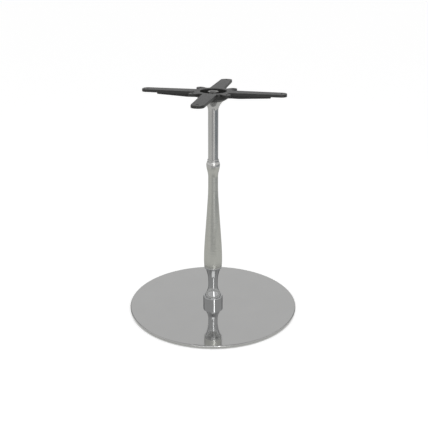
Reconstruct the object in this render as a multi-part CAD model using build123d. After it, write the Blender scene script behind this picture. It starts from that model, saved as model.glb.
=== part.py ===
"""A pedestal base for a table: a weighted round disc, a turned column on a central tie rod, and a
cast four-arm spider that takes the table top. Millimetres, +Z up, origin on the floor at the axis."""
from build123d import *
import os

# Heights along the column, from the floor up
overall_height = 720.0
base_height = 13.0
foot_collar_height = 26.0
lower_spindle_height = 108.0
baluster_height = 339.0
collar_barrel_height = 16.5
collar_ring_height = 7.5

# Base disc
disc_diameter = 550.0
cover_thickness = 1.0
cover_edge_radius = 3.0
cover_floor_gap = 1.5
cover_hem_width = 8.0
ballast_side_clearance = 0.3

# Threaded boss on the ballast plate
hub_diameter = 50.0
hub_height = 14.0
hub_edge_chamfer = 1.5
hub_cover_clearance = 0.5

# Floor glides
glide_count = 4
glide_rim_distance = 26.0
glide_foot_diameter = 28.0
glide_foot_height = 4.0
glide_edge_chamfer = 1.0
glide_stud_diameter = 8.0
glide_stud_sink = 2.0
glide_stud_cover_gap = 1.0

# Central tie rod and its fasteners
rod_diameter = 20.0
rod_clearance = 0.4
thread_clearance = 0.05
rod_bottom_margin = 3.0
rod_top_margin = 0.5
rod_end_chamfer = 1.5
nut_across_flats = 30.0
nut_chamfer = 1.2
spider_nut_height = 14.0
lock_nut_height = 10.0
washer_diameter = 37.0
washer_thickness = 2.5
lock_washer_diameter = 33.0
lock_washer_thickness = 2.5
lock_washer_split = 2.0
lock_washer_lean = 30.0

# Sheet walls and fits of the column
sleeve_wall = 1.5
fit_clearance = 0.2

# Foot collar: a turned cup with a bored shoulder
foot_collar_diameter = 64.8
foot_collar_wall = 2.4
foot_collar_edge_radius = 3.0
shoulder_thickness = 4.0
shoulder_bore_diameter = 42.0

# Lower spindle: diameters of its outline, how high each lies above its foot or how far below its top,
# and its lean there, which is the radius that it gains for each millimetre of height
spindle_foot_diameter = 52.0
spindle_foot_lean = -0.15
spindle_swell_diameter = 40.0
spindle_swell_height = 16.5
spindle_waist_diameter = 31.0
spindle_waist_start = 38.0
spindle_waist_end = 44.0
spindle_cup_diameter = 36.4
spindle_cup_drop = 31.0
spindle_mouth_diameter = 48.4
spindle_mouth_drop = 9.5
spindle_mouth_lean = 0.3
bulb_underside_radius = 4.5
bulb_underside_rise = 2.5

# Baluster: diameters of its outline, and how high each lies above its foot or how far below its top
bulb_joint_diameter = 57.4
bulb_joint_lean = 0.12
bulb_diameter = 59.4
bulb_height = 31.0
shoulder_diameter = 53.8
shoulder_height = 91.0
shaft_diameter = 43.8
shaft_height = 160.0
taper_diameter = 34.6
taper_drop = 110.0
neck_diameter = 30.9
neck_drop = 49.0
neck_flare_drop = 33.0
neck_throat_diameter = 36.0
neck_throat_drop = 14.7
neck_mouth_diameter = 42.0
neck_mouth_lean = 0.12

# Collar: the barrel's outline, and what stands out from the tube in the ring
barrel_diameter = 42.8
barrel_bulge_height = 4.5
barrel_top_ledge = 0.2
barrel_foot_lean = 0.1
barrel_top_lean = -0.6
ring_width = 2.4
ring_groove_width = 1.2
ring_groove_height = 1.4
ring_edge_radius = 2.2
collar_bore_clearance = 0.1

# Upper tube and its trumpet mouth
tube_diameter = 31.2
trumpet_height = 32.0
trumpet_throat_diameter = 36.4
trumpet_throat_drop = 19.0
trumpet_mouth_diameter = 63.5
trumpet_mouth_lean = 0.85

# Bushes inside the column
bush_reach = 7.0
neck_bush_reach = 12.0
neck_bush_spigot_height = 20.0

# Spider: plate
arm_count = 4
arm_reach = 220.0
arm_root_width = 46.0
arm_tip_width = 37.5
arm_tip_radius = 17.0
plate_thickness = 8.0
plate_edge_radius = 1.0
hub_plate_diameter = 114.0
lug_reach = 84.0
lug_width = 25.0
inside_corner_radius = 4.0

# Spider: drafted ribs under the arms
rib_thickness = 9.0
rib_foot_thickness = 7.0
rib_root_radius = 3.0
rib_tip_distance = 44.0
rib_end_slope = 4.0
rib_tip_depth = 15.0
rib_root_depth = 20.0
rib_root_distance = 31.0
rib_boss_lean = 0.35

# Spider: hub
spider_height = 28.0
boss_diameter = 98.0
boss_draft = 1.5
boss_corner_width = 7.0
boss_corner_height = 5.0
boss_corner_rise = 4.0
boss_foot_diameter = 67.0
recess_diameter = 80.0
recess_depth = 20.0
recess_corner_radius = 3.0
recess_edge_chamfer = 1.0
spigot_depth = 5.0

# Spider: screw holes
screw_hole_diameter = 7.0
tip_hole_distance = 16.0

# How far a cutting tool runs past the faces that it cuts
overcut = 1.0

# Levels and radii that follow from the sizes above
cover_underside = base_height - cover_thickness
hub_top = cover_underside + hub_height
shoulder_top = base_height + foot_collar_height
spindle_top = shoulder_top + lower_spindle_height
baluster_top = spindle_top + baluster_height
barrel_top = baluster_top + collar_barrel_height
ring_top = barrel_top + collar_ring_height
spider_seat = overall_height - spider_height
recess_floor = overall_height - recess_depth
plate_underside = overall_height - plate_thickness
lock_washer_level = recess_floor + washer_thickness
spider_nut_level = lock_washer_level + lock_washer_thickness
glide_circle_radius = disc_diameter / 2 - glide_rim_distance - glide_foot_diameter / 2
rod_radius = rod_diameter / 2
rod_passage = rod_radius + rod_clearance
thread_bore = rod_radius + thread_clearance
nut_corner_radius = nut_across_flats / 3**0.5
tube_radius = tube_diameter / 2
ring_radius = tube_radius + ring_width
fit_inset = sleeve_wall + fit_clearance
lug_centre = lug_reach - lug_width / 2


def disc(radius, bottom, top):
    """A plain disc between two levels."""
    return Pos(0, 0, bottom) * Cylinder(radius, top - bottom, align=(Align.CENTER, Align.CENTER, Align.MIN))


def bored(body, radius):
    """A body with a round hole all the way through it along the column's axis."""
    box = body.bounding_box()
    return body - disc(radius, box.min.Z - overcut, box.max.Z + overcut)


def ringed(body, radius, count, start_angle=45):
    """Copies of a body on a circle round the axis, the first one on the diagonal unless said otherwise."""
    return [place * body for place in PolarLocations(radius, count, start_angle=start_angle)]


def turned(outline, bottom, top):
    """The solid of revolution inside an outline that climbs from one level to another."""
    lid = Polyline(outline @ 0, (0, 0, bottom), (0, 0, top), outline @ 1)
    return revolve(make_face([outline, lid]), Axis.Z)


def spindle_outline(inset):
    """Side of the lower spindle, drawn inwards by a wall: concave flares, then the bulb's underside."""
    foot = shoulder_top
    lower = Spline(
        (spindle_foot_diameter / 2 - inset, 0, foot),
        (spindle_swell_diameter / 2 - inset, 0, foot + spindle_swell_height),
        (spindle_waist_diameter / 2 - inset, 0, foot + spindle_waist_start),
        tangents=[(spindle_foot_lean, 0, 1), (0, 0, 1)],
    )
    waist = Line(lower @ 1, (spindle_waist_diameter / 2 - inset, 0, foot + spindle_waist_end))
    mouth = spindle_top - spindle_mouth_drop
    upper = Spline(
        waist @ 1,
        (spindle_cup_diameter / 2 - inset, 0, spindle_top - spindle_cup_drop),
        (spindle_mouth_diameter / 2 - inset, 0, mouth),
        tangents=[(0, 0, 1), (spindle_mouth_lean, 0, 1)],
    )
    side = bulb_joint_diameter / 2 - inset
    step_end = (side - bulb_underside_radius / 2, 0, mouth + bulb_underside_rise)
    step = Line(upper @ 1, step_end)
    turn = Spline(
        step_end,
        (side, 0, mouth + bulb_underside_rise + bulb_underside_radius),
        tangents=[step % 1, (0, 0, 1)],
    )
    rise = Line(turn @ 1, (side, 0, spindle_top))
    return Wire([lower, waist, upper, step, turn, rise])


def baluster_outline(inset):
    """Side of the baluster, drawn inwards by a wall: full bulb, long taper, neck and small flare."""
    foot = spindle_top
    shaft = Spline(
        (bulb_joint_diameter / 2 - inset, 0, foot),
        (bulb_diameter / 2 - inset, 0, foot + bulb_height),
        (shoulder_diameter / 2 - inset, 0, foot + shoulder_height),
        (shaft_diameter / 2 - inset, 0, foot + shaft_height),
        (taper_diameter / 2 - inset, 0, baluster_top - taper_drop),
        (neck_diameter / 2 - inset, 0, baluster_top - neck_drop),
        tangents=[(bulb_joint_lean, 0, 1), (0, 0, 1)],
    )
    neck = Line(shaft @ 1, (neck_diameter / 2 - inset, 0, baluster_top - neck_flare_drop))
    flare = Spline(
        neck @ 1,
        (neck_throat_diameter / 2 - inset, 0, baluster_top - neck_throat_drop),
        (neck_mouth_diameter / 2 - inset, 0, baluster_top),
        tangents=[(0, 0, 1), (neck_mouth_lean, 0, 1)],
    )
    return Wire([shaft, neck, flare])


def tube_outline(inset):
    """Side of the upper tube with its trumpet mouth, drawn inwards by a wall."""
    side = tube_radius - inset
    straight = Line((side, 0, baluster_top), (side, 0, spider_seat - trumpet_height))
    trumpet = Spline(
        straight @ 1,
        (trumpet_throat_diameter / 2 - inset, 0, spider_seat - trumpet_throat_drop),
        (trumpet_mouth_diameter / 2 - inset, 0, spider_seat),
        tangents=[(0, 0, 1), (trumpet_mouth_lean, 0, 1)],
    )
    return Wire([straight, trumpet])


def sleeve(outline, bottom, top):
    """A spun sheet sleeve that follows an outline."""
    return turned(outline(0), bottom, top) - turned(outline(sleeve_wall), bottom, top)


def base_cover():
    """Pressed sheet cover: flat top, rounded edge, upright rim and a hem folded in at its foot."""
    radius = disc_diameter / 2
    outer = disc(radius, cover_floor_gap, base_height)
    outer = fillet(outer.edges().group_by(Axis.Z)[-1], cover_edge_radius)
    inner = disc(radius - cover_thickness, cover_floor_gap + cover_thickness, cover_underside)
    inner = fillet(inner.edges().group_by(Axis.Z)[-1], cover_edge_radius - cover_thickness)
    mouth = disc(radius - cover_hem_width, 0, cover_underside - cover_edge_radius)
    return bored(outer - inner - mouth, hub_diameter / 2 + hub_cover_clearance)


def ballast_plate():
    """Heavy disc under the cover, bored for the tie rod and tapped for the glides."""
    radius = disc_diameter / 2 - cover_thickness - ballast_side_clearance
    plate = disc(radius, glide_foot_height, cover_underside)
    plate = chamfer(plate.edges().group_by(Axis.Z)[-1], cover_edge_radius - cover_thickness)
    tap = disc(glide_stud_diameter / 2 + thread_clearance, glide_foot_height - overcut, base_height)
    return bored(plate, rod_passage) - ringed(tap, glide_circle_radius, glide_count)


def base_hub():
    """Threaded boss on the ballast plate, inside the foot collar."""
    boss = disc(hub_diameter / 2, cover_underside, hub_top)
    boss = chamfer(boss.edges().group_by(Axis.Z)[-1], hub_edge_chamfer)
    return bored(boss, thread_bore)


def glide_feet():
    """Plastic floor glides, each with the socket that holds its stud."""
    foot = disc(glide_foot_diameter / 2, 0, glide_foot_height)
    foot = chamfer(foot.edges().group_by(Axis.Z)[0], glide_edge_chamfer)
    foot -= disc(glide_stud_diameter / 2, glide_foot_height - glide_stud_sink, base_height)
    return ringed(foot, glide_circle_radius, glide_count)


def glide_studs():
    """Threaded studs of the glides."""
    bottom = glide_foot_height - glide_stud_sink
    stud = disc(glide_stud_diameter / 2, bottom, cover_underside - glide_stud_cover_gap)
    return ringed(stud, glide_circle_radius, glide_count)


def tie_rod():
    """Threaded rod from the ballast plate to the recess of the spider."""
    rod = disc(rod_radius, glide_foot_height + rod_bottom_margin, overall_height - rod_top_margin)
    return chamfer(rod.edges().filter_by(GeomType.CIRCLE), rod_end_chamfer)


def hexagonal_nut(height, bottom):
    """A hexagonal nut on the tie rod, its corners chamfered at both ends."""
    flats = RegularPolygon(nut_across_flats / 2, side_count=6, major_radius=False)
    prism = Pos(0, 0, bottom) * extrude(flats, height)
    blank = disc(nut_corner_radius, bottom, bottom + height)
    blank = chamfer(blank.edges().filter_by(GeomType.CIRCLE), nut_chamfer)
    return bored(prism & blank, thread_bore)


def foot_collar():
    """Turned cup that stands on the cover and carries the spindle on its shoulder."""
    radius = foot_collar_diameter / 2
    cup = disc(radius, base_height, shoulder_top)
    cup = fillet(cup.edges().group_by(Axis.Z)[-1], foot_collar_edge_radius)
    cup -= disc(radius - foot_collar_wall, base_height - overcut, shoulder_top - shoulder_thickness)
    return bored(cup, shoulder_bore_diameter / 2)


def foot_bush():
    """Stepped bush: its spigot fits the shoulder's bore, its head fits the spindle."""
    head = turned(spindle_outline(fit_inset), shoulder_top, spindle_top)
    head &= disc(foot_collar_diameter, shoulder_top, shoulder_top + bush_reach)
    spigot = disc(shoulder_bore_diameter / 2 - fit_clearance, shoulder_top - shoulder_thickness, shoulder_top)
    return bored(head + spigot, nut_corner_radius + fit_clearance)


def baluster_bush():
    """Bush across the joint between spindle and baluster."""
    band = disc(bulb_diameter, spindle_top - bush_reach, spindle_top + bush_reach)
    lower = turned(spindle_outline(fit_inset), shoulder_top, spindle_top) & band
    upper = turned(baluster_outline(fit_inset), spindle_top, baluster_top) & band
    return bored(lower + upper, rod_passage)


def neck_bush():
    """Stepped bush: a cone seated in the baluster's mouth and a spigot up into the tube."""
    cone = turned(baluster_outline(fit_inset), spindle_top, baluster_top)
    cone &= disc(bulb_diameter, baluster_top - neck_bush_reach, baluster_top)
    spigot = disc(tube_radius - fit_inset, baluster_top, baluster_top + neck_bush_spigot_height)
    return bored(cone + spigot, rod_passage)


def collar_barrel():
    """Barrel-shaped collar round the foot of the upper tube."""
    side = Spline(
        (neck_mouth_diameter / 2, 0, baluster_top),
        (barrel_diameter / 2, 0, baluster_top + barrel_bulge_height),
        (ring_radius + barrel_top_ledge, 0, barrel_top),
        tangents=[(barrel_foot_lean, 0, 1), (barrel_top_lean, 0, 1)],
    )
    return bored(turned(side, baluster_top, barrel_top), tube_radius + collar_bore_clearance)


def collar_ring():
    """Thin ring on the barrel, with a shallow groove at its foot."""
    groove = disc(tube_radius + ring_groove_width, barrel_top, barrel_top + ring_groove_height)
    band = disc(ring_radius, barrel_top + ring_groove_height, ring_top)
    band = fillet(band.edges().group_by(Axis.Z)[-1], ring_edge_radius)
    return bored(groove + band, tube_radius + collar_bore_clearance)


def spider_plan():
    """Plan of the spider's plate: tapered arms with rounded tips, a round hub and corner lugs."""
    root = arm_root_width / 2
    tip = arm_tip_width / 2
    arm = make_face(Polyline((0, -root), (arm_reach, -tip), (arm_reach, tip), (0, root), close=True))
    arm = fillet(arm.vertices().group_by(Axis.X)[-1], arm_tip_radius)
    lug = Pos(lug_centre / 2, 0) * Rectangle(lug_centre, lug_width)
    lug += Pos(lug_centre, 0) * Circle(lug_width / 2)
    plan = Circle(hub_plate_diameter / 2)
    for quarter in range(arm_count):
        angle = 360 / arm_count * quarter
        plan += Rot(0, 0, angle) * arm + Rot(0, 0, angle + 180 / arm_count) * lug
    limit = hub_plate_diameter / 2 + inside_corner_radius
    corners = [corner for corner in plan.vertices() if Vector(corner).length < limit]
    return fillet(corners, inside_corner_radius)


def spider_rib():
    """Drafted rib under one arm: slanted end, straight lower edge, and a curve down into the boss."""
    top = overall_height - plate_thickness / 2
    reach = arm_reach - rib_tip_distance
    boss_side = boss_diameter / 2 - rib_thickness
    boss_level = spider_seat + boss_corner_rise + boss_corner_height / 2
    edge_start = (reach - rib_end_slope, 0, overall_height - rib_tip_depth)
    edge_end = (boss_diameter / 2 + rib_root_distance, 0, overall_height - rib_root_depth)
    edge = Line(edge_start, edge_end)
    sweep_down = Spline(edge @ 1, (boss_side, 0, boss_level), tangents=[edge % 1, (-1, 0, -rib_boss_lean)])
    rest = Polyline(sweep_down @ 1, (0, 0, boss_level), (0, 0, top), (reach, 0, top), edge_start)
    side = extrude(make_face([edge, sweep_down, rest]), rib_thickness, both=True, dir=(0, 1, 0))
    return spider_rib_section(reach, top) & side


def spider_rib_section(reach, top):
    """Bar with the rib's cross-section: drafted sides and rounded roots under the plate."""
    root = rib_thickness / 2
    foot = rib_foot_thickness / 2
    wide = root + rib_root_radius
    root_level = plate_underside - rib_root_radius
    left_root = TangentArc((-wide, plate_underside), (-root, root_level), tangent=(1, 0))
    right_root = TangentArc((root, root_level), (wide, plate_underside), tangent=(0, 1))
    foot_line = Polyline(left_root @ 1, (-foot, spider_seat), (foot, spider_seat), right_root @ 0)
    lid = Polyline(right_root @ 1, (wide, top), (-wide, top), left_root @ 0)
    return extrude(Plane.YZ * make_face([left_root, foot_line, right_root, lid]), reach)


def spider_boss():
    """Round boss under the hub, with a drafted wall and a broad sloping corner down to its seat."""
    radius = boss_diameter / 2
    wall_top = (radius, plate_underside - rib_root_radius)
    plate_root = TangentArc((radius + rib_root_radius, plate_underside), wall_top, tangent=(-1, 0))
    corner_foot = (radius - boss_draft - boss_corner_width, spider_seat + boss_corner_rise)
    wall_foot = (radius - boss_draft, spider_seat + boss_corner_rise + boss_corner_height)
    side = Polyline(wall_top, wall_foot, corner_foot, (boss_foot_diameter / 2, spider_seat))
    lid = Polyline(side @ 1, (0, spider_seat), (0, plate_underside), plate_root @ 0)
    return revolve(Plane.XZ * make_face([plate_root, side, lid]), Axis.Z)


def spider():
    """One casting: plate, ribs, hub boss, nut recess and the spigot that centres the trumpet."""
    plate = Pos(0, 0, plate_underside) * extrude(spider_plan(), plate_thickness)
    plate = fillet(plate.edges().group_by(Axis.Z)[-1], plate_edge_radius)
    casting = plate + spider_boss()
    rib = spider_rib()
    for quarter in range(arm_count):
        casting += Rot(0, 0, 360 / arm_count * quarter) * rib
    spigot = turned(tube_outline(fit_inset), baluster_top, spider_seat)
    casting += spigot & disc(trumpet_mouth_diameter, spider_seat - spigot_depth, spider_seat)
    recess = disc(recess_diameter / 2, recess_floor, overall_height + overcut)
    recess = fillet(recess.edges().group_by(Axis.Z)[0], recess_corner_radius)
    casting = bored(casting - recess, rod_passage)
    rim = casting.edges().filter_by(GeomType.CIRCLE).group_by(Axis.Z)[-1].sort_by(SortBy.RADIUS)
    rim = [edge for edge in rim if abs(edge.radius - recess_diameter / 2) < overcut]
    casting = chamfer(rim, recess_edge_chamfer)
    hole = disc(screw_hole_diameter / 2, plate_underside - overcut, overall_height + overcut)
    tip_holes = ringed(hole, arm_reach - tip_hole_distance, arm_count, start_angle=0)
    return casting - tip_holes - ringed(hole, lug_centre, arm_count)


def spider_washer():
    """Plain washer on the recess floor."""
    return bored(disc(washer_diameter / 2, recess_floor, lock_washer_level), rod_passage)


def spider_lock_washer():
    """Spring washer, split at one side by a leaning cut."""
    radius = lock_washer_diameter / 2
    coil = bored(disc(radius, lock_washer_level, spider_nut_level), rod_passage)
    cutter = Box(radius, lock_washer_split, radius, align=(Align.MIN, Align.CENTER, Align.CENTER))
    return coil - Pos(rod_radius, 0, lock_washer_level) * Rot(lock_washer_lean, 0, 0) * cutter


parts = {
    "base_cover": base_cover(),
    "ballast_plate": ballast_plate(),
    "base_hub": base_hub(),
    "glide_feet": glide_feet(),
    "glide_studs": glide_studs(),
    "tie_rod": tie_rod(),
    "hub_lock_nut": hexagonal_nut(lock_nut_height, hub_top),
    "foot_collar": foot_collar(),
    "foot_bush": foot_bush(),
    "lower_spindle": sleeve(spindle_outline, shoulder_top, spindle_top),
    "baluster_bush": baluster_bush(),
    "baluster": sleeve(baluster_outline, spindle_top, baluster_top),
    "neck_bush": neck_bush(),
    "collar_barrel": collar_barrel(),
    "collar_ring": collar_ring(),
    "upper_tube": sleeve(tube_outline, baluster_top, spider_seat),
    "spider": spider(),
    "spider_washer": spider_washer(),
    "spider_lock_washer": spider_lock_washer(),
    "spider_nut": hexagonal_nut(spider_nut_height, spider_nut_level),
}

os.makedirs("parts", exist_ok=True)
for name, shape in parts.items():
    if isinstance(shape, list):
        shape = Compound(children=shape)
    shape.label = name
    export_step(shape, f"parts/{name}.step")
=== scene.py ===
"""Finishes, screw threads, studio and camera of the pedestal table base."""
import math

import bmesh
import bpy
from bpy.props import FloatProperty, FloatVectorProperty, IntProperty, PointerProperty
from mathutils import Matrix, Vector


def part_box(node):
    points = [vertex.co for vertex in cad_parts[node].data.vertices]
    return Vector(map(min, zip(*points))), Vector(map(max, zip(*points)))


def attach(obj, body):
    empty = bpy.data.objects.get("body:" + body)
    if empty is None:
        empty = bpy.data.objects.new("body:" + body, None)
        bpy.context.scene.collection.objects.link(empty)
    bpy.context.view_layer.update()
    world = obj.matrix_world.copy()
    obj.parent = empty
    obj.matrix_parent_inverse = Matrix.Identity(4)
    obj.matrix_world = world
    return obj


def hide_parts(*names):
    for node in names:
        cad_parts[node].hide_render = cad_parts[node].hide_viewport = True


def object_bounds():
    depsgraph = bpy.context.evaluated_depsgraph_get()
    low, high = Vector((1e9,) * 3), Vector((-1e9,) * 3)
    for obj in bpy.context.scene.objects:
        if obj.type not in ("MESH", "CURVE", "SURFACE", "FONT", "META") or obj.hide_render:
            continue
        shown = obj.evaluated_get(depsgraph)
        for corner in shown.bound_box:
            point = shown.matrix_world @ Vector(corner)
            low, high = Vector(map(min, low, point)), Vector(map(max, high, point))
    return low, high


bl_info = {
    "name": "Pedestal Table Base",
    "version": (1, 0, 0),
    "blender": (4, 5, 0),
    "location": "View3D > Sidebar > Table Base",
    "description": "Dresses a pedestal table base: steel finishes, a textured casting, threads and a studio",
    "category": "Object",
}

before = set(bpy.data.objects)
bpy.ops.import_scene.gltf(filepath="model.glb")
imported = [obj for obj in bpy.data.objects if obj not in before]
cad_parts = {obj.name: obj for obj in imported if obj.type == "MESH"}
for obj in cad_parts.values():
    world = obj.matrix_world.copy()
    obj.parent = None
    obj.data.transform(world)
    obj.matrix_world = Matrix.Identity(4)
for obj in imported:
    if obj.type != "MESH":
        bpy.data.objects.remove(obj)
CAD_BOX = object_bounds()
BODY = "root"

# Where most values of a noise texture lie.
NOISE_LOW = 0.3
NOISE_HIGH = 0.7

# Sizes and depths of the fine patterns in the finishes, in metres.
POLISH_CLOUD_SIZE = 0.09
POLISH_LINE_DEPTH = 0.0000015
SATIN_CLOUD_SIZE = 0.05
SATIN_LINE_DEPTH = 0.000006
METAL_PATCH_SIZE = 0.006
METAL_GRAIN_SIZE = 0.0009
METAL_GRAIN_DEPTH = 0.00002
PAINT_GRAIN_DEPTH = 0.00004
CARD_MOTTLE_SIZE = 0.05

# Sides of round shapes, and how far apart a thread's doubled corners may lie, as a share of its pitch.
BAR_SEGMENTS = 48
STUDIO_SEGMENTS = 96
THREAD_MERGE_SHARE = 0.002

# Heights over the floor at which the studio's cards lie on each other, in metres.
BOWL_LEVEL = 0.001
CARPET_LEVEL = 0.002
SHEEN_LEVEL = 0.003

# Turns to the right of the camera, in degrees, at which the dark carpets on the right begin and end.
RIGHT_CARPET_TURNS = (32.0, 64.0, 95.0, 126.0)

# Colour of the sheen on the floor under its own light, and the camera's sensor in millimetres.
SHEEN_COLOUR = (0.2, 0.2, 0.2)
SENSOR_WIDTH = 36.0


def colour(name, description, default):
    """A colour property."""
    return FloatVectorProperty(name=name, description=description, default=default, size=3, min=0.0, max=1.0,
                               subtype="COLOR")


def length(name, description, default):
    """A length property in metres."""
    return FloatProperty(name=name, description=description, default=default, min=0.0, precision=5,
                         unit="LENGTH", subtype="DISTANCE")


def turn(name, description, default):
    """An angle property in radians, with its default given in degrees."""
    return FloatProperty(name=name, description=description, default=math.radians(default), unit="ROTATION",
                         subtype="ANGLE")


def share(name, description, default):
    """A plain factor from 0 to 1."""
    return FloatProperty(name=name, description=description, default=default, min=0.0, max=1.0, precision=4)


def brightness(name, description, default):
    """A brightness, where 1 is white."""
    return FloatProperty(name=name, description=description, default=default, min=0.0, precision=4)


class SteelFinish(bpy.types.PropertyGroup):
    """Colours and gloss of the steel pieces."""
    disc_colour: colour("Disc", "Polished steel of the disc cover", (0.58, 0.58, 0.575))
    disc_roughness: share("Disc roughness", "Roughness of the disc's polish", 0.07)
    spindle_colour: colour("Spindle", "Polished steel of foot collar and spindle", (0.53, 0.535, 0.54))
    spindle_roughness: share("Spindle roughness", "Roughness of the foot collar and spindle", 0.09)
    tube_colour: colour("Tube", "Polished steel of the collar and upper tube", (0.62, 0.62, 0.61))
    tube_roughness: share("Tube roughness", "Roughness of the collar and upper tube", 0.22)
    satin_colour: colour("Satin", "Satin steel of the baluster", (0.60, 0.605, 0.57))
    satin_roughness: share("Satin roughness", "Roughness of the satin steel", 0.29)
    satin_stretch: share("Satin stretch", "How far the turning lines draw out the satin gloss", 0.6)
    ring_spacing: length("Turning lines", "Distance between the lines that turning leaves", 0.0006)
    zinc_colour: colour("Zinc", "Dull zinc of the fasteners", (0.30, 0.30, 0.29))
    zinc_roughness: share("Zinc roughness", "Roughness of the zinc coat and of the tie rod", 0.38)
    rod_colour: colour("Rod", "Dark greased steel of the tie rod", (0.08, 0.08, 0.08))
    plain_colour: colour("Plain steel", "Bare steel of hub and bushes", (0.40, 0.39, 0.38))
    plain_roughness: share("Plain roughness", "Roughness of the bare steel", 0.32)


class CastingFinish(bpy.types.PropertyGroup):
    """Textured coat of the spider."""
    coat_colour: colour("Coat", "Black textured coat", (0.028, 0.028, 0.027))
    coat_roughness: share("Coat roughness", "Roughness of the textured coat", 0.42)
    grain_size: length("Grain", "Size of the coat's grains", 0.0012)
    grain_depth: length("Grain depth", "Height of the coat's grains", 0.0002)
    wave_size: length("Waves", "Size of the slow waves in the cast skin", 0.012)
    wave_depth: length("Wave depth", "Height of the waves in the cast skin", 0.0004)


class PlateFinish(bpy.types.PropertyGroup):
    """Primer and plastic under the disc."""
    primer_colour: colour("Primer", "Dull primer on the ballast plate", (0.07, 0.07, 0.07))
    primer_roughness: share("Primer roughness", "Roughness of the primer", 0.7)
    primer_grain: length("Primer grain", "Size of the primer's grains", 0.002)
    plastic_colour: colour("Plastic", "Moulded plastic of the glides", (0.03, 0.03, 0.03))
    plastic_roughness: share("Plastic roughness", "Roughness of the plastic", 0.5)
    plastic_grain: length("Plastic grain", "Size of the plastic's grains", 0.0008)


class ThreadSizes(bpy.types.PropertyGroup):
    """Screw threads of the tie rod."""
    rod_pitch: length("Rod pitch", "Pitch of the tie rod's thread", 0.0025)
    crest_share: share("Crest", "Flat crest as a share of the pitch", 0.125)
    root_share: share("Root", "Flat root as a share of the pitch", 0.25)
    depth_share: share("Depth", "Depth of the thread as a share of the pitch", 0.6134)
    thread_length: length("Thread length", "Length of the thread at each end of the rod", 0.06)
    end_chamfer: length("End chamfer", "Chamfer at both ends of the rod", 0.0015)
    steps: IntProperty(name="Steps", description="Steps in one turn of thread", default=32, min=8)


class Studio(bpy.types.PropertyGroup):
    """Camera, floor and surroundings. Turns are counted to the right of the camera, as seen from it."""
    camera_distance: length("Camera distance", "Distance of the camera from the column's axis", 2.0019)
    camera_height: length("Camera height", "Height of the camera over the floor", 1.0932)
    camera_azimuth: turn("Camera azimuth", "Turn of the camera round the column from the front arm", 12.06)
    camera_tilt: turn("Camera tilt", "Tilt of the camera below the horizon", 20.924)
    camera_pan: turn("Camera pan", "Turn of the camera to the right of the column's axis", 0.083)
    camera_roll: turn("Camera roll", "Roll of the camera about its line of sight", 0.095)
    lens: FloatProperty(name="Lens", description="Focal length of the camera in millimetres", default=56.6,
                        min=1.0)
    floor_radius: length("Floor radius", "Radius of the round floor", 60.0)
    floor_colour: colour("Floor", "Pale floor", (0.80, 0.80, 0.80))
    floor_lift: share("Floor lift", "Light that the floor adds where it is seen or mirrored", 0.52)
    horizon: brightness("Horizon", "Brightness of the surroundings below and round the horizon", 1.0)
    horizon_top: turn("Horizon top", "Elevation at which the horizon's brightness begins to fade", 7.0)
    walls: brightness("Walls", "Brightness of the surroundings above the horizon", 0.66)
    walls_bottom: turn("Walls bottom", "Elevation at which the walls' brightness is reached", 14.0)
    walls_top: turn("Walls top", "Elevation at which the walls' brightness begins to fade", 40.0)
    ceiling: brightness("Ceiling", "Brightness of the surroundings overhead", 0.40)
    bowl_start: length("Bowl start", "Radius at which the grey bowl begins, just outside the disc", 0.28)
    bowl_reach: length("Bowl reach", "Radius at which the grey bowl turns up", 6.0)
    bowl_height: length("Bowl height", "Height of the grey bowl's rim over the floor", 1.0)
    bowl_colour: colour("Bowl", "Grey bowl round the base", (0.88, 0.88, 0.86))
    carpet_start: length("Carpet start", "Radius at which the darker carpets begin", 0.65)
    carpet_end: length("Carpet end", "Radius at which the inner carpet ends and the sheen begins", 1.2)
    shade_colour: colour("Shade", "Darker strip of carpet before the base", (0.56, 0.56, 0.56))
    shade_first: turn("Shade from", "Turn at which the strip before the base begins", -34.0)
    shade_last: turn("Shade to", "Turn at which the strip before the base ends", 10.0)
    inner_colour: colour("Inner carpet", "Darker strip close to the base on the right", (0.30, 0.30, 0.29))
    inner_first: turn("Inner carpet from", "Turn at which the strip close to the base begins", 16.0)
    inner_last: turn("Inner carpet to", "Turn at which the strip close to the base ends", 34.0)
    right_colour: colour("Right carpet", "Dark carpet on the right", (0.37, 0.40, 0.43))
    right_start: length("Right carpet start", "Radius at which the dark carpet on the right begins", 1.4)
    rear_colour: colour("Rear flags", "Dark flags behind the base on both sides", (0.25, 0.25, 0.26))
    rear_first: turn("Rear flags from", "Turn to either side at which the rear flags begin", 128.0)
    rear_last: turn("Rear flags to", "Turn to either side at which the rear flags end", 157.0)
    rear_distance: length("Rear flag distance", "Distance of the rear flags' corners from the column", 3.0)
    rear_bottom: length("Rear flag bottom", "Height of the rear flags' lower edge over the floor", 0.6)
    rear_top: length("Rear flag top", "Height of the rear flags' upper edge over the floor", 3.0)


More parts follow.
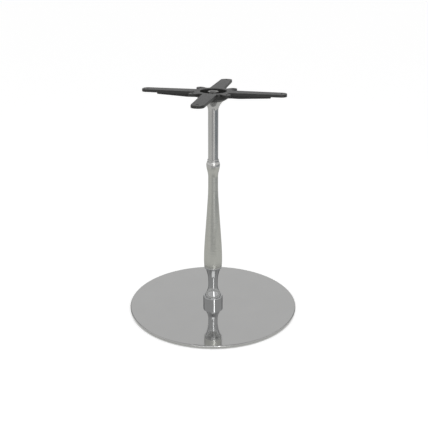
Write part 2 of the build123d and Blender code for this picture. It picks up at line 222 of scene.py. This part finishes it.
class Softboxes(bpy.types.PropertyGroup):
    """The two softboxes and the sheen on the floor. Turns are counted to the right of the camera."""
    strip_radiance: brightness("Strip", "Brightness of the upright strip", 5.0)
    strip_azimuth: turn("Strip azimuth", "Turn of the upright strip", 15.0)
    strip_distance: length("Strip distance", "Distance of the upright strip from the column", 2.6)
    strip_level: length("Strip level", "Height of the strip's middle over the floor", 1.35)
    strip_width: length("Strip width", "Width of the upright strip", 0.30)
    strip_height: length("Strip height", "Height of the upright strip", 1.80)
    top_radiance: brightness("Top", "Brightness of the upper softbox", 1.3)
    top_azimuth: turn("Top azimuth", "Turn of the upper softbox", 6.0)
    top_distance: length("Top distance", "Distance of the upper softbox from the column", 1.7)
    top_level: length("Top level", "Height of the upper softbox over the floor", 2.3)
    top_width: length("Top width", "Width of the upper softbox", 2.4)
    top_depth: length("Top depth", "Depth of the upper softbox", 0.8)
    sheen_radiance: brightness("Sheen", "Brightness of the sheen on the floor", 0.85)
    sheen_azimuth: turn("Sheen azimuth", "Turn of the sheen on the floor", 22.0)
    sheen_spread: turn("Sheen spread", "Angle that the sheen on the floor covers", 13.0)


def settings(group):
    """The scene's property group of that name."""
    return getattr(bpy.context.scene, "table_base_" + group)


def finish_material(name, base, metallic, roughness):
    """A new node material with one shader, whose even values stand on the shader's own sockets."""
    material = bpy.data.materials.new(name)
    material.use_nodes = True
    shader = material.node_tree.nodes["Principled BSDF"]
    shader.inputs["Base Color"].default_value = (*base, 1.0)
    shader.inputs["Metallic"].default_value = metallic
    shader.inputs["Roughness"].default_value = roughness
    return material, shader


def add_node(material, kind, **values):
    """A node with its settings and the values of its inputs."""
    node = material.node_tree.nodes.new(kind)
    for key, value in values.items():
        if key in node.inputs:
            node.inputs[key].default_value = value
        else:
            setattr(node, key, value)
    return node


def object_place(material):
    """The place on the piece, in metres."""
    return add_node(material, "ShaderNodeTexCoord").outputs["Object"]


def ring_place(material):
    """Distance from the column's axis and height, so that a pattern on it runs in rings round the column."""
    link = material.node_tree.links.new
    flat = add_node(material, "ShaderNodeVectorMath", operation="MULTIPLY")
    flat.inputs[1].default_value = (1.0, 1.0, 0.0)
    link(object_place(material), flat.inputs[0])
    reach = add_node(material, "ShaderNodeVectorMath", operation="LENGTH")
    link(flat.outputs["Vector"], reach.inputs[0])
    height = add_node(material, "ShaderNodeSeparateXYZ")
    link(object_place(material), height.inputs["Vector"])
    place = add_node(material, "ShaderNodeCombineXYZ")
    link(reach.outputs["Value"], place.inputs["X"])
    link(height.outputs["Z"], place.inputs["Z"])
    return place.outputs["Vector"]


def noise_value(material, place, size, detail=2.0):
    """Noise from 0 to 1 whose patches are about that size."""
    noise = add_node(material, "ShaderNodeTexNoise", Scale=1.0 / size, Detail=detail)
    material.node_tree.links.new(place, noise.inputs["Vector"])
    return noise.outputs["Fac"]


def vary_roughness(material, value, shader, smoothest, roughest):
    """Varies the roughness with a noise value, between those two."""
    ranged = add_node(material, "ShaderNodeMapRange")
    ranged.inputs["From Min"].default_value = NOISE_LOW
    ranged.inputs["From Max"].default_value = NOISE_HIGH
    ranged.inputs["To Min"].default_value = smoothest
    ranged.inputs["To Max"].default_value = roughest
    material.node_tree.links.new(value, ranged.inputs["Value"])
    material.node_tree.links.new(ranged.outputs["Result"], shader.inputs["Roughness"])


def vary_colour(material, value, shader, base, change):
    """Varies the base colour with a noise value, by that share darker and lighter."""
    mix = add_node(material, "ShaderNodeMix", data_type="RGBA")
    colours = [socket for socket in mix.inputs if socket.type == "RGBA"]
    colours[0].default_value = (*[channel * (1.0 - change) for channel in base], 1.0)
    colours[1].default_value = (*[min(1.0, channel * (1.0 + change)) for channel in base], 1.0)
    material.node_tree.links.new(value, mix.inputs["Factor"])
    result = [socket for socket in mix.outputs if socket.type == "RGBA"][0]
    material.node_tree.links.new(result, shader.inputs["Base Color"])


def relief(material, value, depth, shader, below=None):
    """Bump of that depth in metres, on top of another bump where one is given."""
    bump = add_node(material, "ShaderNodeBump", Strength=1.0, Distance=depth)
    material.node_tree.links.new(value, bump.inputs["Height"])
    if below is not None:
        material.node_tree.links.new(below, bump.inputs["Normal"])
    material.node_tree.links.new(bump.outputs["Normal"], shader.inputs["Normal"])
    return bump.outputs["Normal"]


def polished_steel(name, base, roughness):
    """Polished stainless steel: faint turning lines and cloudy patches of colour and gloss."""
    steel = settings("steel")
    material, shader = finish_material(name, base, metallic=1.0, roughness=roughness)
    rings = noise_value(material, ring_place(material), steel.ring_spacing, detail=1.0)
    clouds = noise_value(material, object_place(material), POLISH_CLOUD_SIZE, detail=3.0)
    vary_colour(material, clouds, shader, base, change=0.03)
    vary_roughness(material, clouds, shader, smoothest=roughness * 0.8, roughest=roughness * 1.25)
    relief(material, rings, POLISH_LINE_DEPTH, shader)
    return material


def satin_steel(name, base, roughness):
    """Satin stainless steel, brushed round the column."""
    steel = settings("steel")
    material, shader = finish_material(name, base, metallic=1.0, roughness=roughness)
    shader.inputs["Anisotropic"].default_value = steel.satin_stretch
    around = add_node(material, "ShaderNodeTangent", direction_type="RADIAL", axis="Z")
    material.node_tree.links.new(around.outputs["Tangent"], shader.inputs["Tangent"])
    rings = noise_value(material, ring_place(material), steel.ring_spacing, detail=2.0)
    clouds = noise_value(material, object_place(material), SATIN_CLOUD_SIZE, detail=3.0)
    vary_colour(material, clouds, shader, base, change=0.04)
    vary_roughness(material, rings, shader, smoothest=roughness * 0.85, roughest=roughness * 1.15)
    relief(material, rings, SATIN_LINE_DEPTH, shader)
    return material


def plain_metal(name, base, roughness):
    """Dull metal with a fine grain, for the fasteners, the tie rod, the bushes and the hub."""
    material, shader = finish_material(name, base, metallic=1.0, roughness=roughness)
    grain = noise_value(material, object_place(material), METAL_GRAIN_SIZE, detail=3.0)
    patches = noise_value(material, object_place(material), METAL_PATCH_SIZE, detail=3.0)
    vary_colour(material, patches, shader, base, change=0.12)
    vary_roughness(material, patches, shader, smoothest=roughness * 0.8, roughest=roughness * 1.2)
    relief(material, grain, METAL_GRAIN_DEPTH, shader)
    return material


def textured_coat(name, casting):
    """Black textured coat over a cast skin: fine grains on slow waves."""
    base = casting.coat_colour
    roughness = casting.coat_roughness
    material, shader = finish_material(name, base, metallic=0.0, roughness=roughness)
    place = object_place(material)
    grains = noise_value(material, place, casting.grain_size, detail=4.0)
    waves = noise_value(material, place, casting.wave_size, detail=2.0)
    vary_colour(material, waves, shader, base, change=0.18)
    vary_roughness(material, grains, shader, smoothest=roughness * 0.85, roughest=roughness * 1.15)
    skin = relief(material, waves, casting.wave_depth, shader)
    relief(material, grains, casting.grain_depth, shader, below=skin)
    return material


def dull_paint(name, base, roughness, grain_size):
    """Paint or plastic with a fine even grain."""
    material, shader = finish_material(name, base, metallic=0.0, roughness=roughness)
    grains = noise_value(material, object_place(material), grain_size, detail=3.0)
    vary_colour(material, grains, shader, base, change=0.1)
    vary_roughness(material, grains, shader, smoothest=roughness * 0.9, roughest=roughness * 1.1)
    relief(material, grains, PAINT_GRAIN_DEPTH, shader)
    return material


def dress(material, *nodes):
    """Puts a material on every slot of those CAD nodes."""
    for name in nodes:
        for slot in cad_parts[name].material_slots:
            slot.material = material


def mesh_of(shape, name):
    """The mesh of a finished bmesh."""
    mesh = bpy.data.meshes.new(name)
    shape.to_mesh(mesh)
    shape.free()
    return mesh


def new_object(name, data):
    """A new object in the scene, at the origin."""
    thing = bpy.data.objects.new(name, data)
    bpy.context.scene.collection.objects.link(thing)
    return thing


def finished_piece(shape, name, material, node, smooth_angle=30.0):
    """Makes an object of a bmesh, in place of a CAD node, and lets it ride on the base."""
    for face in shape.faces:
        face.smooth = True
    for edge in shape.edges:
        edge.smooth = len(edge.link_faces) != 2 or edge.calc_face_angle(0.0) < math.radians(smooth_angle)
    mesh = mesh_of(shape, name)
    mesh.materials.append(material)
    piece = new_object(name, mesh)
    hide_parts(node)
    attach(piece, BODY)


class TABLEBASE_OT_disc_cover(bpy.types.Operator):
    """Gives the pressed disc cover its polish"""
    bl_idname = "table_base.disc_cover"
    bl_label = "Disc Cover"

    def execute(self, context):
        steel = settings("steel")
        dress(polished_steel("disc_polish", steel.disc_colour, steel.disc_roughness), "base_cover")
        return {"FINISHED"}


class TABLEBASE_OT_foot_and_spindle(bpy.types.Operator):
    """Gives the foot collar and the lower spindle their polish"""
    bl_idname = "table_base.foot_and_spindle"
    bl_label = "Foot Collar and Spindle"

    def execute(self, context):
        steel = settings("steel")
        material = polished_steel("spindle_polish", steel.spindle_colour, steel.spindle_roughness)
        dress(material, "foot_collar", "lower_spindle")
        return {"FINISHED"}


class TABLEBASE_OT_baluster(bpy.types.Operator):
    """Gives the baluster its satin finish, brushed round the column"""
    bl_idname = "table_base.baluster"
    bl_label = "Baluster"

    def execute(self, context):
        steel = settings("steel")
        dress(satin_steel("baluster_satin", steel.satin_colour, steel.satin_roughness), "baluster")
        return {"FINISHED"}


class TABLEBASE_OT_collar_and_tube(bpy.types.Operator):
    """Gives the collar barrel, its ring and the trumpet tube their polish"""
    bl_idname = "table_base.collar_and_tube"
    bl_label = "Collar and Tube"

    def execute(self, context):
        steel = settings("steel")
        material = polished_steel("tube_polish", steel.tube_colour, steel.tube_roughness)
        dress(material, "collar_barrel", "collar_ring", "upper_tube")
        return {"FINISHED"}


class TABLEBASE_OT_spider(bpy.types.Operator):
    """Gives the cast spider its textured coat"""
    bl_idname = "table_base.spider"
    bl_label = "Cast Spider"

    def execute(self, context):
        dress(textured_coat("casting_coat", settings("casting")), "spider")
        return {"FINISHED"}


class TABLEBASE_OT_rod_fasteners(bpy.types.Operator):
    """Gives the nuts and washers of the tie rod and the studs of the glides their zinc coat"""
    bl_idname = "table_base.rod_fasteners"
    bl_label = "Nuts, Washers and Studs"

    def execute(self, context):
        steel = settings("steel")
        material = plain_metal("fastener_zinc", steel.zinc_colour, steel.zinc_roughness)
        dress(material, "spider_nut", "spider_washer", "spider_lock_washer", "hub_lock_nut", "glide_studs")
        return {"FINISHED"}


def screw_thread(shape, radius, bottom, top, tip):
    """Adds a closed length of thread: one pitch of its profile is swept up a helix, a turn past either end,
    cut off flat at both ends and chamfered at the tip of the rod."""
    sizes = settings("thread")
    pitch = sizes.rod_pitch
    root = radius - pitch * sizes.depth_share
    crest = pitch * sizes.crest_share
    flank = pitch * (1.0 - sizes.crest_share - sizes.root_share) / 2.0
    profile = [(root, 0.0), (radius, flank), (radius, flank + crest), (root, flank * 2.0 + crest),
               (root, pitch)]
    turns = math.ceil((top - bottom) / pitch) + 2
    part = bmesh.new()
    start = [part.verts.new((reach, 0.0, bottom - pitch + level)) for reach, level in profile]
    edges = [part.edges.new(pair) for pair in zip(start, start[1:])]
    bmesh.ops.spin(part, geom=start + edges, cent=(0, 0, 0), axis=(0, 0, 1),
                   dvec=(0, 0, pitch / sizes.steps), angle=math.tau * turns, steps=sizes.steps * turns,
                   use_merge=False, use_duplicate=False)
    bmesh.ops.remove_doubles(part, verts=part.verts, dist=pitch * THREAD_MERGE_SHARE)
    for level, way in ((bottom, -1.0), (top, 1.0)):
        cut = bmesh.ops.bisect_plane(part, geom=part.verts[:] + part.edges[:] + part.faces[:],
                                     plane_co=(0, 0, level), plane_no=(0, 0, way), clear_outer=True)
        rim = [piece for piece in cut["geom_cut"] if isinstance(piece, bmesh.types.BMEdge)]
        bmesh.ops.contextual_create(part, geom=rim)
    for corner in part.verts:
        limit = radius - max(0.0, sizes.end_chamfer - abs(corner.co.z - tip))
        reach = corner.co.xy.length
        if reach > limit:
            corner.co.xy *= limit / reach
    bmesh.ops.recalc_face_normals(part, faces=part.faces)
    mesh = mesh_of(part, "thread")
    shape.from_mesh(mesh)
    bpy.data.meshes.remove(mesh)


def plain_bar(shape, radius, bottom, top):
    """Adds a closed plain round bar along the column's axis."""
    middle = Matrix.Translation((0.0, 0.0, (bottom + top) / 2.0))
    bmesh.ops.create_cone(shape, cap_ends=True, segments=BAR_SEGMENTS, radius1=radius, radius2=radius,
                          depth=top - bottom, matrix=middle)


class TABLEBASE_OT_tie_rod(bpy.types.Operator):
    """Cuts the screw threads at both ends of the tie rod"""
    bl_idname = "table_base.tie_rod"
    bl_label = "Tie Rod"

    def execute(self, context):
        steel = settings("steel")
        thread = settings("thread").thread_length
        low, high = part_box("tie_rod")
        radius = high.x
        shape = bmesh.new()
        screw_thread(shape, radius, low.z, low.z + thread, low.z)
        plain_bar(shape, radius, low.z + thread, high.z - thread)
        screw_thread(shape, radius, high.z - thread, high.z, high.z)
        material = plain_metal("greased_rod", steel.rod_colour, steel.zinc_roughness)
        finished_piece(shape, "threaded_tie_rod", material, "tie_rod")
        return {"FINISHED"}


class TABLEBASE_OT_inner_steel(bpy.types.Operator):
    """Gives the hub and the bushes inside the column their bare turned steel"""
    bl_idname = "table_base.inner_steel"
    bl_label = "Hub and Bushes"

    def execute(self, context):
        steel = settings("steel")
        material = plain_metal("bare_steel", steel.plain_colour, steel.plain_roughness)
        dress(material, "base_hub", "foot_bush", "baluster_bush", "neck_bush")
        return {"FINISHED"}


class TABLEBASE_OT_ballast_and_glides(bpy.types.Operator):
    """Gives the ballast plate its primer and the glides their plastic"""
    bl_idname = "table_base.ballast_and_glides"
    bl_label = "Ballast Plate and Glides"

    def execute(self, context):
        plate = settings("plate")
        primer = dull_paint("plate_primer", plate.primer_colour, plate.primer_roughness, plate.primer_grain)
        plastic = dull_paint("glide_plastic", plate.plastic_colour, plate.plastic_roughness,
                             plate.plastic_grain)
        dress(primer, "ballast_plate")
        dress(plastic, "glide_feet")
        return {"FINISHED"}


def seen_or_mirrored(material):
    """One where a surface is seen by the camera, in a mirror or through glass, and zero for light alone."""
    link = material.node_tree.links.new
    path = add_node(material, "ShaderNodeLightPath")
    total = path.outputs["Is Camera Ray"]
    for name in ("Is Glossy Ray", "Is Transmission Ray"):
        either = add_node(material, "ShaderNodeMath", operation="MAXIMUM")
        link(total, either.inputs[0])
        link(path.outputs[name], either.inputs[1])
        total = either.outputs["Value"]
    return total


def floor_material(studio):
    """Pale floor that looks white where nothing shades it and keeps the base's shadow."""
    material, shader = finish_material("studio_floor", studio.floor_colour, metallic=0.0, roughness=1.0)
    shader.inputs["Specular IOR Level"].default_value = 0.0
    shader.inputs["Emission Color"].default_value = (1.0, 1.0, 1.0, 1.0)
    lift = add_node(material, "ShaderNodeMath", operation="MULTIPLY")
    lift.inputs[1].default_value = studio.floor_lift
    material.node_tree.links.new(seen_or_mirrored(material), lift.inputs[0])
    material.node_tree.links.new(lift.outputs["Value"], shader.inputs["Emission Strength"])
    return material


def studio_floor(studio):
    """The round floor under the base."""
    shape = bmesh.new()
    bmesh.ops.create_circle(shape, cap_ends=True, radius=studio.floor_radius, segments=STUDIO_SEGMENTS)
    mesh = mesh_of(shape, "studio_floor")
    mesh.materials.append(floor_material(studio))
    floor = new_object("studio_floor", mesh)


def studio_world(studio):
    """Surroundings that are white up to just above the horizon, then grey, and darker overhead."""
    world = bpy.data.worlds.new("studio_world")
    world.use_nodes = True
    bpy.context.scene.world = world
    nodes = world.node_tree.nodes
    links = world.node_tree.links
    direction = nodes.new("ShaderNodeTexCoord")
    height = nodes.new("ShaderNodeSeparateXYZ")
    links.new(direction.outputs["Generated"], height.inputs["Vector"])
    ramp = nodes.new("ShaderNodeValToRGB")
    upward = nodes.new("ShaderNodeMapRange")
    upward.inputs["From Min"].default_value = -1.0
    links.new(height.outputs["Z"], upward.inputs["Value"])
    links.new(upward.outputs["Result"], ramp.inputs["Fac"])
    steps = ((-math.pi / 2.0, studio.horizon), (studio.horizon_top, studio.horizon),
             (studio.walls_bottom, studio.walls), (studio.walls_top, studio.walls),
             (math.pi / 2.0, studio.ceiling))
    stops = ramp.color_ramp.elements
    while len(stops) < len(steps):
        stops.new(position=0.5)
    for stop, (elevation, level) in zip(stops, steps):
        stop.position = (math.sin(elevation) + 1.0) / 2.0
        stop.color = (level, level, level, 1.0)
    links.new(ramp.outputs["Color"], nodes["Background"].inputs["Color"])


def from_camera(studio, azimuth, distance, level):
    """A place at that turn to the right of the camera, distance from the axis and height over the floor."""
    about = studio.camera_azimuth + azimuth
    return Vector((math.sin(about) * distance, -math.cos(about) * distance, level))


def softbox(name, place, aim, width, height, radiance):
    """A rectangular lamp of even brightness that looks at a point."""
    lamp = bpy.data.lights.new(name, "AREA")
    lamp.shape = "RECTANGLE"
    lamp.size = width
    lamp.size_y = height
    lamp.energy = radiance * math.pi * width * height
    box = new_object(name, lamp)
    box.location = place
    box.rotation_euler = (place - aim).to_track_quat("Z", "Y").to_euler()
    box.visible_camera = False


def studio_softboxes(studio, light):
    """The upright strip, which draws the bright line down the column, and the upper softbox."""
    middle = Vector((0.0, 0.0, (CAD_BOX[0].z + CAD_BOX[1].z) / 2.0))
    place = from_camera(studio, light.strip_azimuth, light.strip_distance, light.strip_level)
    softbox("strip_softbox", place, Vector((middle.x, middle.y, place.z)), light.strip_width,
            light.strip_height, light.strip_radiance)
    place = from_camera(studio, light.top_azimuth, light.top_distance, light.top_level)
    softbox("top_softbox", place, middle, light.top_width, light.top_depth, light.top_radiance)


def card_material(name, base, glow=0.0):
    """Matt cloth or board, slightly mottled, with a glow of its own where one is given."""
    material, shader = finish_material(name, base, metallic=0.0, roughness=1.0)
    shader.inputs["Specular IOR Level"].default_value = 0.0
    shader.inputs["Emission Color"].default_value = (1.0, 1.0, 1.0, 1.0)
    shader.inputs["Emission Strength"].default_value = glow
    mottle = noise_value(material, object_place(material), CARD_MOTTLE_SIZE)
    vary_colour(material, mottle, shader, base, change=0.03)
    return material


def studio_card(name, shape, base, glow=0.0):
    """Makes a card that only shows in reflections: it casts no shadow and the camera doesn't see it."""
    mesh = mesh_of(shape, name)
    mesh.materials.append(card_material(name, base, glow))
    card = new_object(name, mesh)
    card.visible_camera = False
    card.visible_shadow = False
    card.visible_diffuse = False


def flat_card(name, corners, base, glow=0.0):
    """A flat card with those corners."""
    shape = bmesh.new()
    shape.faces.new([shape.verts.new(corner) for corner in corners])
    studio_card(name, shape, base, glow)


def rear_flag(name, studio, first, last):
    """A dark flag that stands behind the base, between two turns to the right of the camera."""
    bottom = studio.rear_bottom
    top = studio.rear_top
    corners = [from_camera(studio, azimuth, studio.rear_distance, level)
               for azimuth, level in ((first, bottom), (last, bottom), (last, top), (first, top))]
    flat_card(name, corners, studio.rear_colour)


def floor_sector(name, studio, turns, reaches, level, base, glow=0.0):
    """A strip of carpet that widens away from the base, between two turns and two radii."""
    first, last = turns
    start, end = reaches
    corners = [from_camera(studio, azimuth, reach, level)
               for azimuth, reach in ((first, start), (last, start), (last, end), (first, end))]
    flat_card(name, corners, base, glow)


def studio_carpets(studio, light):
    """The darker carpets round the base and the sheen between them, which the steel mirrors."""
    floor_sector("shade_carpet", studio, (studio.shade_first, studio.shade_last),
                 (studio.carpet_start, studio.bowl_reach), CARPET_LEVEL, studio.shade_colour)
    floor_sector("inner_carpet", studio, (studio.inner_first, studio.inner_last),
                 (studio.carpet_start, studio.carpet_end), CARPET_LEVEL, studio.inner_colour)
    # The sheen is a glowing card, not a lamp, and shows only in reflections: a painted reflection of a
    # softbox in a glossy floor, which the steel then mirrors.
    half = light.sheen_spread / 2.0
    floor_sector("floor_sheen", studio, (light.sheen_azimuth - half, light.sheen_azimuth + half),
                 (studio.carpet_end, studio.bowl_reach), SHEEN_LEVEL, SHEEN_COLOUR, light.sheen_radiance)
    turns = [math.radians(azimuth) for azimuth in RIGHT_CARPET_TURNS]
    for number, pair in enumerate(zip(turns, turns[1:]), 1):
        floor_sector(f"right_carpet_{number}", studio, pair, (studio.right_start, studio.bowl_reach),
                     CARPET_LEVEL, studio.right_colour)


def studio_bowl(studio):
    """Grey bowl round the base, which the steel mirrors: a ring on the floor that turns up into a wall."""
    shape = bmesh.new()
    places = ((studio.bowl_start, BOWL_LEVEL), (studio.bowl_reach, BOWL_LEVEL),
              (studio.bowl_reach, studio.bowl_height))
    profile = [shape.verts.new((reach, 0.0, level)) for reach, level in places]
    edges = [shape.edges.new(pair) for pair in zip(profile, profile[1:])]
    bmesh.ops.spin(shape, geom=profile + edges, cent=(0, 0, 0), axis=(0, 0, 1), angle=math.tau,
                   steps=STUDIO_SEGMENTS, use_merge=True, use_duplicate=False)
    studio_card("studio_bowl", shape, studio.bowl_colour)


def studio_camera(studio):
    """The camera at the photograph's place."""
    lens = bpy.data.cameras.new("studio_camera")
    lens.lens = studio.lens
    lens.sensor_width = SENSOR_WIDTH
    camera = new_object("studio_camera", lens)
    camera.location = from_camera(studio, 0.0, studio.camera_distance, studio.camera_height)
    heading = Matrix.Rotation(studio.camera_azimuth - studio.camera_pan, 3, "Z")
    tilt = Matrix.Rotation(math.pi / 2.0 - studio.camera_tilt, 3, "X")
    roll = Matrix.Rotation(studio.camera_roll, 3, "Z")
    camera.rotation_euler = (heading @ tilt @ roll).to_euler()
    bpy.context.scene.camera = camera


class TABLEBASE_OT_studio(bpy.types.Operator):
    """Sets up the floor, the surroundings, the light, the camera and the plain view transform"""
    bl_idname = "table_base.studio"
    bl_label = "Studio"

    def execute(self, context):
        studio = settings("studio")
        light = settings("softboxes")
        studio_floor(studio)
        studio_world(studio)
        studio_softboxes(studio, light)
        studio_bowl(studio)
        studio_carpets(studio, light)
        rear_flag("right_rear_flag", studio, studio.rear_first, studio.rear_last)
        rear_flag("left_rear_flag", studio, -studio.rear_last, -studio.rear_first)
        studio_camera(studio)
        context.scene.view_settings.view_transform = "Standard"
        return {"FINISHED"}


GROUPS = {
    "steel": SteelFinish,
    "casting": CastingFinish,
    "plate": PlateFinish,
    "thread": ThreadSizes,
    "studio": Studio,
    "softboxes": Softboxes,
}

OPERATORS = (
    TABLEBASE_OT_disc_cover,
    TABLEBASE_OT_foot_and_spindle,
    TABLEBASE_OT_baluster,
    TABLEBASE_OT_collar_and_tube,
    TABLEBASE_OT_spider,
    TABLEBASE_OT_rod_fasteners,
    TABLEBASE_OT_tie_rod,
    TABLEBASE_OT_inner_steel,
    TABLEBASE_OT_ballast_and_glides,
    TABLEBASE_OT_studio,
)


class TABLEBASE_PT_pieces(bpy.types.Panel):
    """Lists the pieces of the table base and the studio"""
    bl_idname = "TABLEBASE_PT_pieces"
    bl_label = "Table Base"
    bl_space_type = "VIEW_3D"
    bl_region_type = "UI"
    bl_category = "Table Base"

    def draw(self, context):
        for operator in OPERATORS:
            self.layout.operator(operator.bl_idname)
        for group, kind in GROUPS.items():
            box = self.layout.box()
            box.label(text=group.capitalize())
            for name in kind.__annotations__:
                box.prop(settings(group), name)


CLASSES = (*GROUPS.values(), *OPERATORS, TABLEBASE_PT_pieces)


def register():
    """Registers the classes and puts the property groups on the scene."""
    for kind in CLASSES:
        bpy.utils.register_class(kind)
    for group, kind in GROUPS.items():
        setattr(bpy.types.Scene, "table_base_" + group, PointerProperty(type=kind))


def unregister():
    """Takes the property groups and the classes away again."""
    for group in GROUPS:
        delattr(bpy.types.Scene, "table_base_" + group)
    for kind in reversed(CLASSES):
        bpy.utils.unregister_class(kind)


def main():
    """Builds every piece in order."""
    register()
    for operator in OPERATORS:
        group, name = operator.bl_idname.split(".")
        getattr(getattr(bpy.ops, group), name)()


if __name__ == "__main__":
    main()
